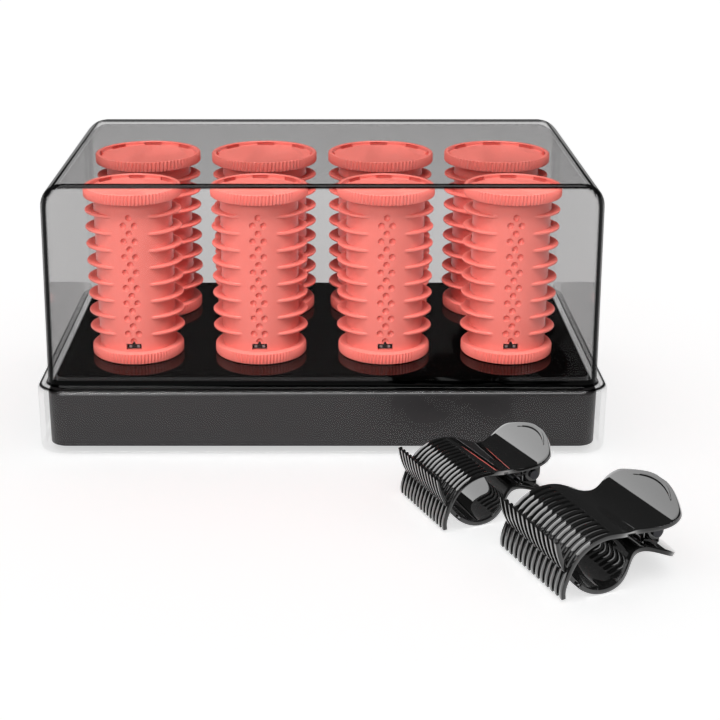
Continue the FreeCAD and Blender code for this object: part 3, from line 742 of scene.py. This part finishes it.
# plan of each jaw past the barrel: (x, half width)
UPPER_OUTLINE = [(18.5, 20.5), (21.0, 20.2), (25.0, 18.4), (30.0, 16.0), (34.0, 16.6),
                 (38.0, 18.6), (41.2, 19.6), (43.6, 18.9), (45.4, 16.2), (47.2, 11.4),
                 (48.5, 6.6), (49.2, 1.0)]
LOWER_OUTLINE = [(18.5, 20.5), (21.0, 20.2), (25.0, 18.3), (30.0, 15.6), (34.0, 16.2),
                 (38.0, 18.1), (41.0, 18.8), (43.2, 17.8), (45.2, 14.4), (46.6, 10.4),
                 (47.6, 6.0), (48.1, 1.0)]
HINGE = (39.5, 13.9)
EAR_RADIUS = 3.1
EAR_THICKNESS = 1.8
TAB_START = 38
# the crescent grip's place, bow and half width along the jaw, and its heights over the sheet's middle
CRESCENT_MIDDLE = 47.6
CRESCENT_BOW = 2.6
CRESCENT_TIP = 0.12
CRESCENT_SWELL = 0.8
CRESCENT_HALF_LENGTH = 11.0
CRESCENT_SUNK = 0.3
CRESCENT_TOP = 1.25
# jaw: (line, outline, tooth width, teeth moved by this share of their pitch,
#       x where the slots end, distance of an ear from the middle)
JAWS = {"upper": (UPPER_LINE, UPPER_OUTLINE, TOOTH, 0.0, 17.5, 11.4),
        "lower": (LOWER_LINE, LOWER_OUTLINE, LOWER_TOOTH, 0.5, 6.6, 9.2)}
# clip: (heading in degrees, overall size, breadth along the barrel)
CLIPS = {"clip_a": (22.0, 1.0, 1.0), "clip_b": (23.2, 0.965, 0.86)}


def along_line(points, x):
    """Second coordinate at x, straight between points that run along x."""
    for (x0, z0), (x1, z1) in zip(points, points[1:]):
        if x0 <= x <= x1:
            return z0 + (z1 - z0) * (x - x0) / (x1 - x0)
    return points[-1][1] if x > points[-1][0] else points[0][1]


def jaw_mesh(line, outline, tooth, shift, slot_end, breadth):
    """Sheet along the jaw's line with comb slots at the mouth, ready to be thickened."""
    pitch = (CLIP_LENGTH - TOOTH) / (TEETH - 1)
    first = (TOOTH - CLIP_LENGTH) / 2 + shift * pitch
    edges = []
    for index in range(TEETH):
        middle = first + index * pitch
        edges += [(middle - tooth / 2, True), (middle + tooth / 2, False)]
    limit = CLIP_LENGTH / 2
    touching, least_gap = 0.01, 0.05
    edges = [e for e in edges if -limit - touching <= e[0] <= limit + touching]
    if edges[0][0] > -limit + least_gap:
        edges.insert(0, (-limit, False))
    if edges[-1][0] < limit - least_gap:
        edges.append((limit, True))
    points = smooth_line(line, 90)
    tip = 10
    points = points[:1 - tip] + smooth_line(points[-tip:], 3 * tip)[1:]
    plan = smooth_line(outline, 300)
    bm = bmesh.new()
    rows = []
    for x, z in points:
        scale = along_line(plan, x) / limit * breadth
        rows.append([bm.verts.new((x, y * scale, z)) for y, _ in edges])
    for r, (low, high) in enumerate(zip(rows, rows[1:])):
        open_row = (points[r][0] + points[r + 1][0]) / 2 < slot_end
        for c in range(len(edges) - 1):
            if open_row and not edges[c][1]:
                continue
            bm.faces.new((low[c], low[c + 1], high[c + 1], high[c]))
    loose = [v for v in bm.verts if not v.link_faces]
    bmesh.ops.delete(bm, geom=loose, context="VERTS")
    return bm


def thicken(bm, thickness, soften):
    """Gives a sheet a thickness, half on each side, and softens its edges."""
    bmesh.ops.recalc_face_normals(bm, faces=bm.faces)
    mesh = bpy.data.meshes.new("sheet")
    bm.to_mesh(mesh)
    bm.free()
    sheet = bpy.data.objects.new("sheet", mesh)
    bpy.context.scene.collection.objects.link(sheet)
    solid = sheet.modifiers.new("solid", "SOLIDIFY")
    solid.thickness = thickness
    solid.offset = 0
    solid.use_even_offset = True
    bevel = sheet.modifiers.new("bevel", "BEVEL")
    bevel.width = soften
    bevel.segments = 2
    bevel.limit_method = "ANGLE"
    bevel.angle_limit = radians(50)
    result = evaluated(sheet)
    bpy.data.objects.remove(sheet)
    bpy.data.meshes.remove(mesh)
    return result


def add_ear(bm, y, line):
    """Rounded hinge ear that reaches from the pin into its jaw."""
    radius = EAR_RADIUS
    toward = 1 if along_line(line, HINGE[0]) > HINGE[1] else -1
    profile = [(radius * cos(radians(a)), -toward * radius * sin(radians(a)))
               for a in range(0, 181, 12)]
    profile += [(side * radius, along_line(line, HINGE[0] + side * radius) - HINGE[1])
                for side in (-1, 1)]
    rings = []
    rim, rounding = 0.1, 0.2
    for dy, inset in ((-0.5, rounding), (-0.5 + rim, 0), (0.5 - rim, 0), (0.5, rounding)):
        shrink = 1 - inset / radius
        rings.append([Vector((HINGE[0] + x * shrink, y + dy * EAR_THICKNESS, HINGE[1] + z * shrink))
                      for x, z in profile])
    loft(bm, rings, cap_ends=True)


def add_crescent(bm, line, breadth):
    """Raised crescent grip near the end of the thumb tab."""
    tab = [point for point in smooth_line(line, 600) if point[0] > TAB_START]
    steps = 24
    rings = []
    for k in range(steps + 1):
        t = 2 * k / steps - 1
        x = CRESCENT_MIDDLE - CRESCENT_BOW * t * t
        half = CRESCENT_TIP + CRESCENT_SWELL * (1 - t * t)
        ring = []
        for dx, lift in ((-half, CRESCENT_SUNK), (-half * 0.5, CRESCENT_TOP),
                         (half * 0.5, CRESCENT_TOP), (half, CRESCENT_SUNK)):
            at = x + dx
            near = min(tab, key=lambda point: abs(point[0] - at))
            ring.append(Vector((at, CRESCENT_HALF_LENGTH * t * breadth, near[1] + lift)))
        rings.append(ring)
    loft(bm, rings, cap_ends=True)


def make_clips():
    """Two jaws a clip, shaped about their own axes and then set so that the ears meet the pin."""
    for clip, (heading, size, breadth) in CLIPS.items():
        low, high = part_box(f"{clip}_pin")
        pin = (low + high) / 2
        turn = Matrix.Rotation(radians(heading), 4, "Z")
        origin = pin - turn @ Vector((HINGE[0], 0, HINGE[1])) * size * MM
        for jaw, (line, outline, tooth, shift, slot_end, ear_y) in JAWS.items():
            sheet = jaw_mesh(line, outline, tooth, shift, slot_end, breadth)
            bm = thicken(sheet, CLIP_WALL, CLIP_BEVEL)
            for side in (-1, 1):
                add_ear(bm, side * ear_y, line)
            if jaw == "upper":
                add_crescent(bm, line, breadth)
            bm.transform(Matrix.Translation(origin / MM) @ turn @ Matrix.Scale(size, 4))
            place_mesh(f"{clip}_{jaw}_look", as_mesh(f"{clip}_{jaw}", bm), f"{clip}_{jaw}",
                       CLIP_BLACK, sharp=40, replaces=[f"{clip}_{jaw}_jaw"])


# ---- CAD nodes that keep their own shape ---------------------------------------------------
def dress_nodes():
    """Gives the parts that no piece replaces their materials."""
    looks = {"base_pan": CHARCOAL, "deck_plate": BLACK_GLOSS, "heating_posts": ALUMINIUM,
             "heater_plate": ALUMINIUM, "thermostat": INNER_BLACK, "terminal_block": INNER_BLACK,
             "wiring": INNER_BLACK, "cord_gland": INNER_BLACK, "base_screws": STEEL,
             "rubber_feet": RUBBER}
    endings = {"_core": INNER_BLACK, "_sleeve": ALUMINIUM, "_pin": DARK_STEEL, "_spring": STEEL}
    for name, thing in nodes.items():
        look = looks.get(name)
        for ending, material in endings.items():
            if name.endswith(ending):
                look = material
        if look:
            thing.data.shade_smooth()
            thing.data.set_sharp_from_angle(angle=radians(30))
            thing.data.materials.clear()
            thing.data.materials.append(look)


# ---- floor, light and camera ---------------------------------------------------------------
FLOOR_HALF = 12000
FLOOR_GLOW = 0.6
WORLD_LIGHT = 0.55
WORLD_MIRRORED = 0.03
WORLD_SEEN = 1.0
# softboxes: (name, target, way from the target to the lamp, way that its width runs,
#             distance, size, radiance)
CLIP_LAMP = ("behind_left", (0.09, -0.155, 0.02), (-0.572, 0.611, 0.547),
             (-0.8, -0.272, -0.534), 1.6, (0.86, 1.5), 1.9)
PIECE_LAMPS = (("front_left", (0, 0, 0.05), (-0.38, -0.78, 0.5), (0.9, -0.44, 0), 1.9,
                (1.0, 0.8), 15.0),
               ("overhead", (0, 0, 0), (0, -0.28, 0.96), (1, 0, 0), 1.55, (1.3, 0.9), 18.0))
# pieces that the polished parts don't mirror
UNMIRRORED_ENDINGS = ("_core", "_sleeve", "_shell_look", "_cap_look", "_contacts")
UNMIRRORED = ("heating_posts", "cover_shell")


def make_floor():
    """Wide white floor that glows a little, so that it stays white under the object."""
    bm = bmesh.new()
    bmesh.ops.create_grid(bm, x_segments=1, y_segments=1, size=FLOOR_HALF)
    mesh = bpy.data.meshes.new("floor")
    bm.to_mesh(mesh)
    bm.free()
    mesh.transform(Matrix.Scale(MM, 4))
    material, tree, output = new_material("floor_white")
    matt = add(tree, "ShaderNodeBsdfDiffuse")
    matt.inputs["Color"].default_value = (0.95, 0.95, 0.95, 1)
    glow = add(tree, "ShaderNodeEmission", Strength=FLOOR_GLOW)
    both = add(tree, "ShaderNodeAddShader")
    tree.links.new(matt.outputs[0], both.inputs[0])
    tree.links.new(glow.outputs[0], both.inputs[1])
    tree.links.new(both.outputs[0], output.inputs["Surface"])
    mesh.materials.append(material)
    floor = bpy.data.objects.new("floor", mesh)
    bpy.context.scene.collection.objects.link(floor)


def make_world():
    """White surround: soft as a light, nearly dark in mirrors and full white where it is seen."""
    world = bpy.data.worlds.new("studio")
    bpy.context.scene.world = world
    world.use_nodes = True
    tree = world.node_tree
    tree.nodes.clear()
    out = tree.nodes.new("ShaderNodeOutputWorld")
    path = add(tree, "ShaderNodeLightPath")
    last = add(tree, "ShaderNodeBackground", Strength=WORLD_LIGHT).outputs[0]
    for ray, strength in (("Is Glossy Ray", WORLD_MIRRORED), ("Is Camera Ray", WORLD_SEEN)):
        other = add(tree, "ShaderNodeBackground", Strength=strength)
        pick = add(tree, "ShaderNodeMixShader")
        tree.links.new(path.outputs[ray], pick.inputs[0])
        tree.links.new(last, pick.inputs[1])
        tree.links.new(other.outputs[0], pick.inputs[2])
        last = pick.outputs[0]
    tree.links.new(last, out.inputs["Surface"])


def light_pieces():
    """One lamp for the clips alone, and two for everything but the floor and the deck."""
    clips = bpy.data.collections.new("clip_pieces")
    pieces = bpy.data.collections.new("all_but_floor_and_deck")
    for thing in bpy.data.objects:
        if thing.type != "MESH" or thing.name == "floor":
            continue
        if thing.name != "deck_plate":
            pieces.objects.link(thing)
        if thing.name.startswith("clip_"):
            clips.objects.link(thing)
        if thing.name.endswith(UNMIRRORED_ENDINGS) or thing.name in UNMIRRORED:
            thing.visible_glossy = False
    lamp = softbox(*CLIP_LAMP)
    lamp.light_linking.receiver_collection = clips
    lamp.light_linking.blocker_collection = clips
    for numbers in PIECE_LAMPS:
        softbox(*numbers).light_linking.receiver_collection = pieces


def softbox(name, target, toward, along, distance, size, radiance):
    """Area light at a distance from the target, which it faces."""
    light = bpy.data.lights.new(name, "AREA")
    light.shape = "RECTANGLE"
    light.size, light.size_y = size
    light.energy = radiance * pi * size[0] * size[1]
    back = Vector(toward).normalized()
    across = Vector(along) - Vector(along).dot(back) * back
    across.normalize()
    lamp = bpy.data.objects.new(name, light)
    lamp.matrix_world = Matrix.Translation(Vector(target) + back * distance) @ \
        Matrix((across, back.cross(across), back)).transposed().to_4x4()
    bpy.context.scene.collection.objects.link(lamp)
    return lamp


CAMERA_PLACE = (0, -0.6052, 0.2391)
CAMERA_PITCH = 20.31  # degrees below level
CAMERA_LENS = 75.5
CAMERA_SHIFT = 0.0522


def make_camera():
    """Camera in front of the object, looking down at it."""
    camera = bpy.data.cameras.new("camera")
    camera.sensor_width = 36.0
    camera.lens = CAMERA_LENS
    camera.shift_x = CAMERA_SHIFT
    camera.clip_end = 50
    thing = bpy.data.objects.new("camera", camera)
    thing.location = CAMERA_PLACE
    thing.rotation_euler = (radians(90 - CAMERA_PITCH), 0, 0)
    bpy.context.scene.collection.objects.link(thing)
    bpy.context.scene.camera = thing
    bpy.context.scene.view_settings.view_transform = "Standard"


make_cover()
make_base()
make_rollers()
make_clips()
dress_nodes()
make_floor()
make_world()
light_pieces()
make_camera()
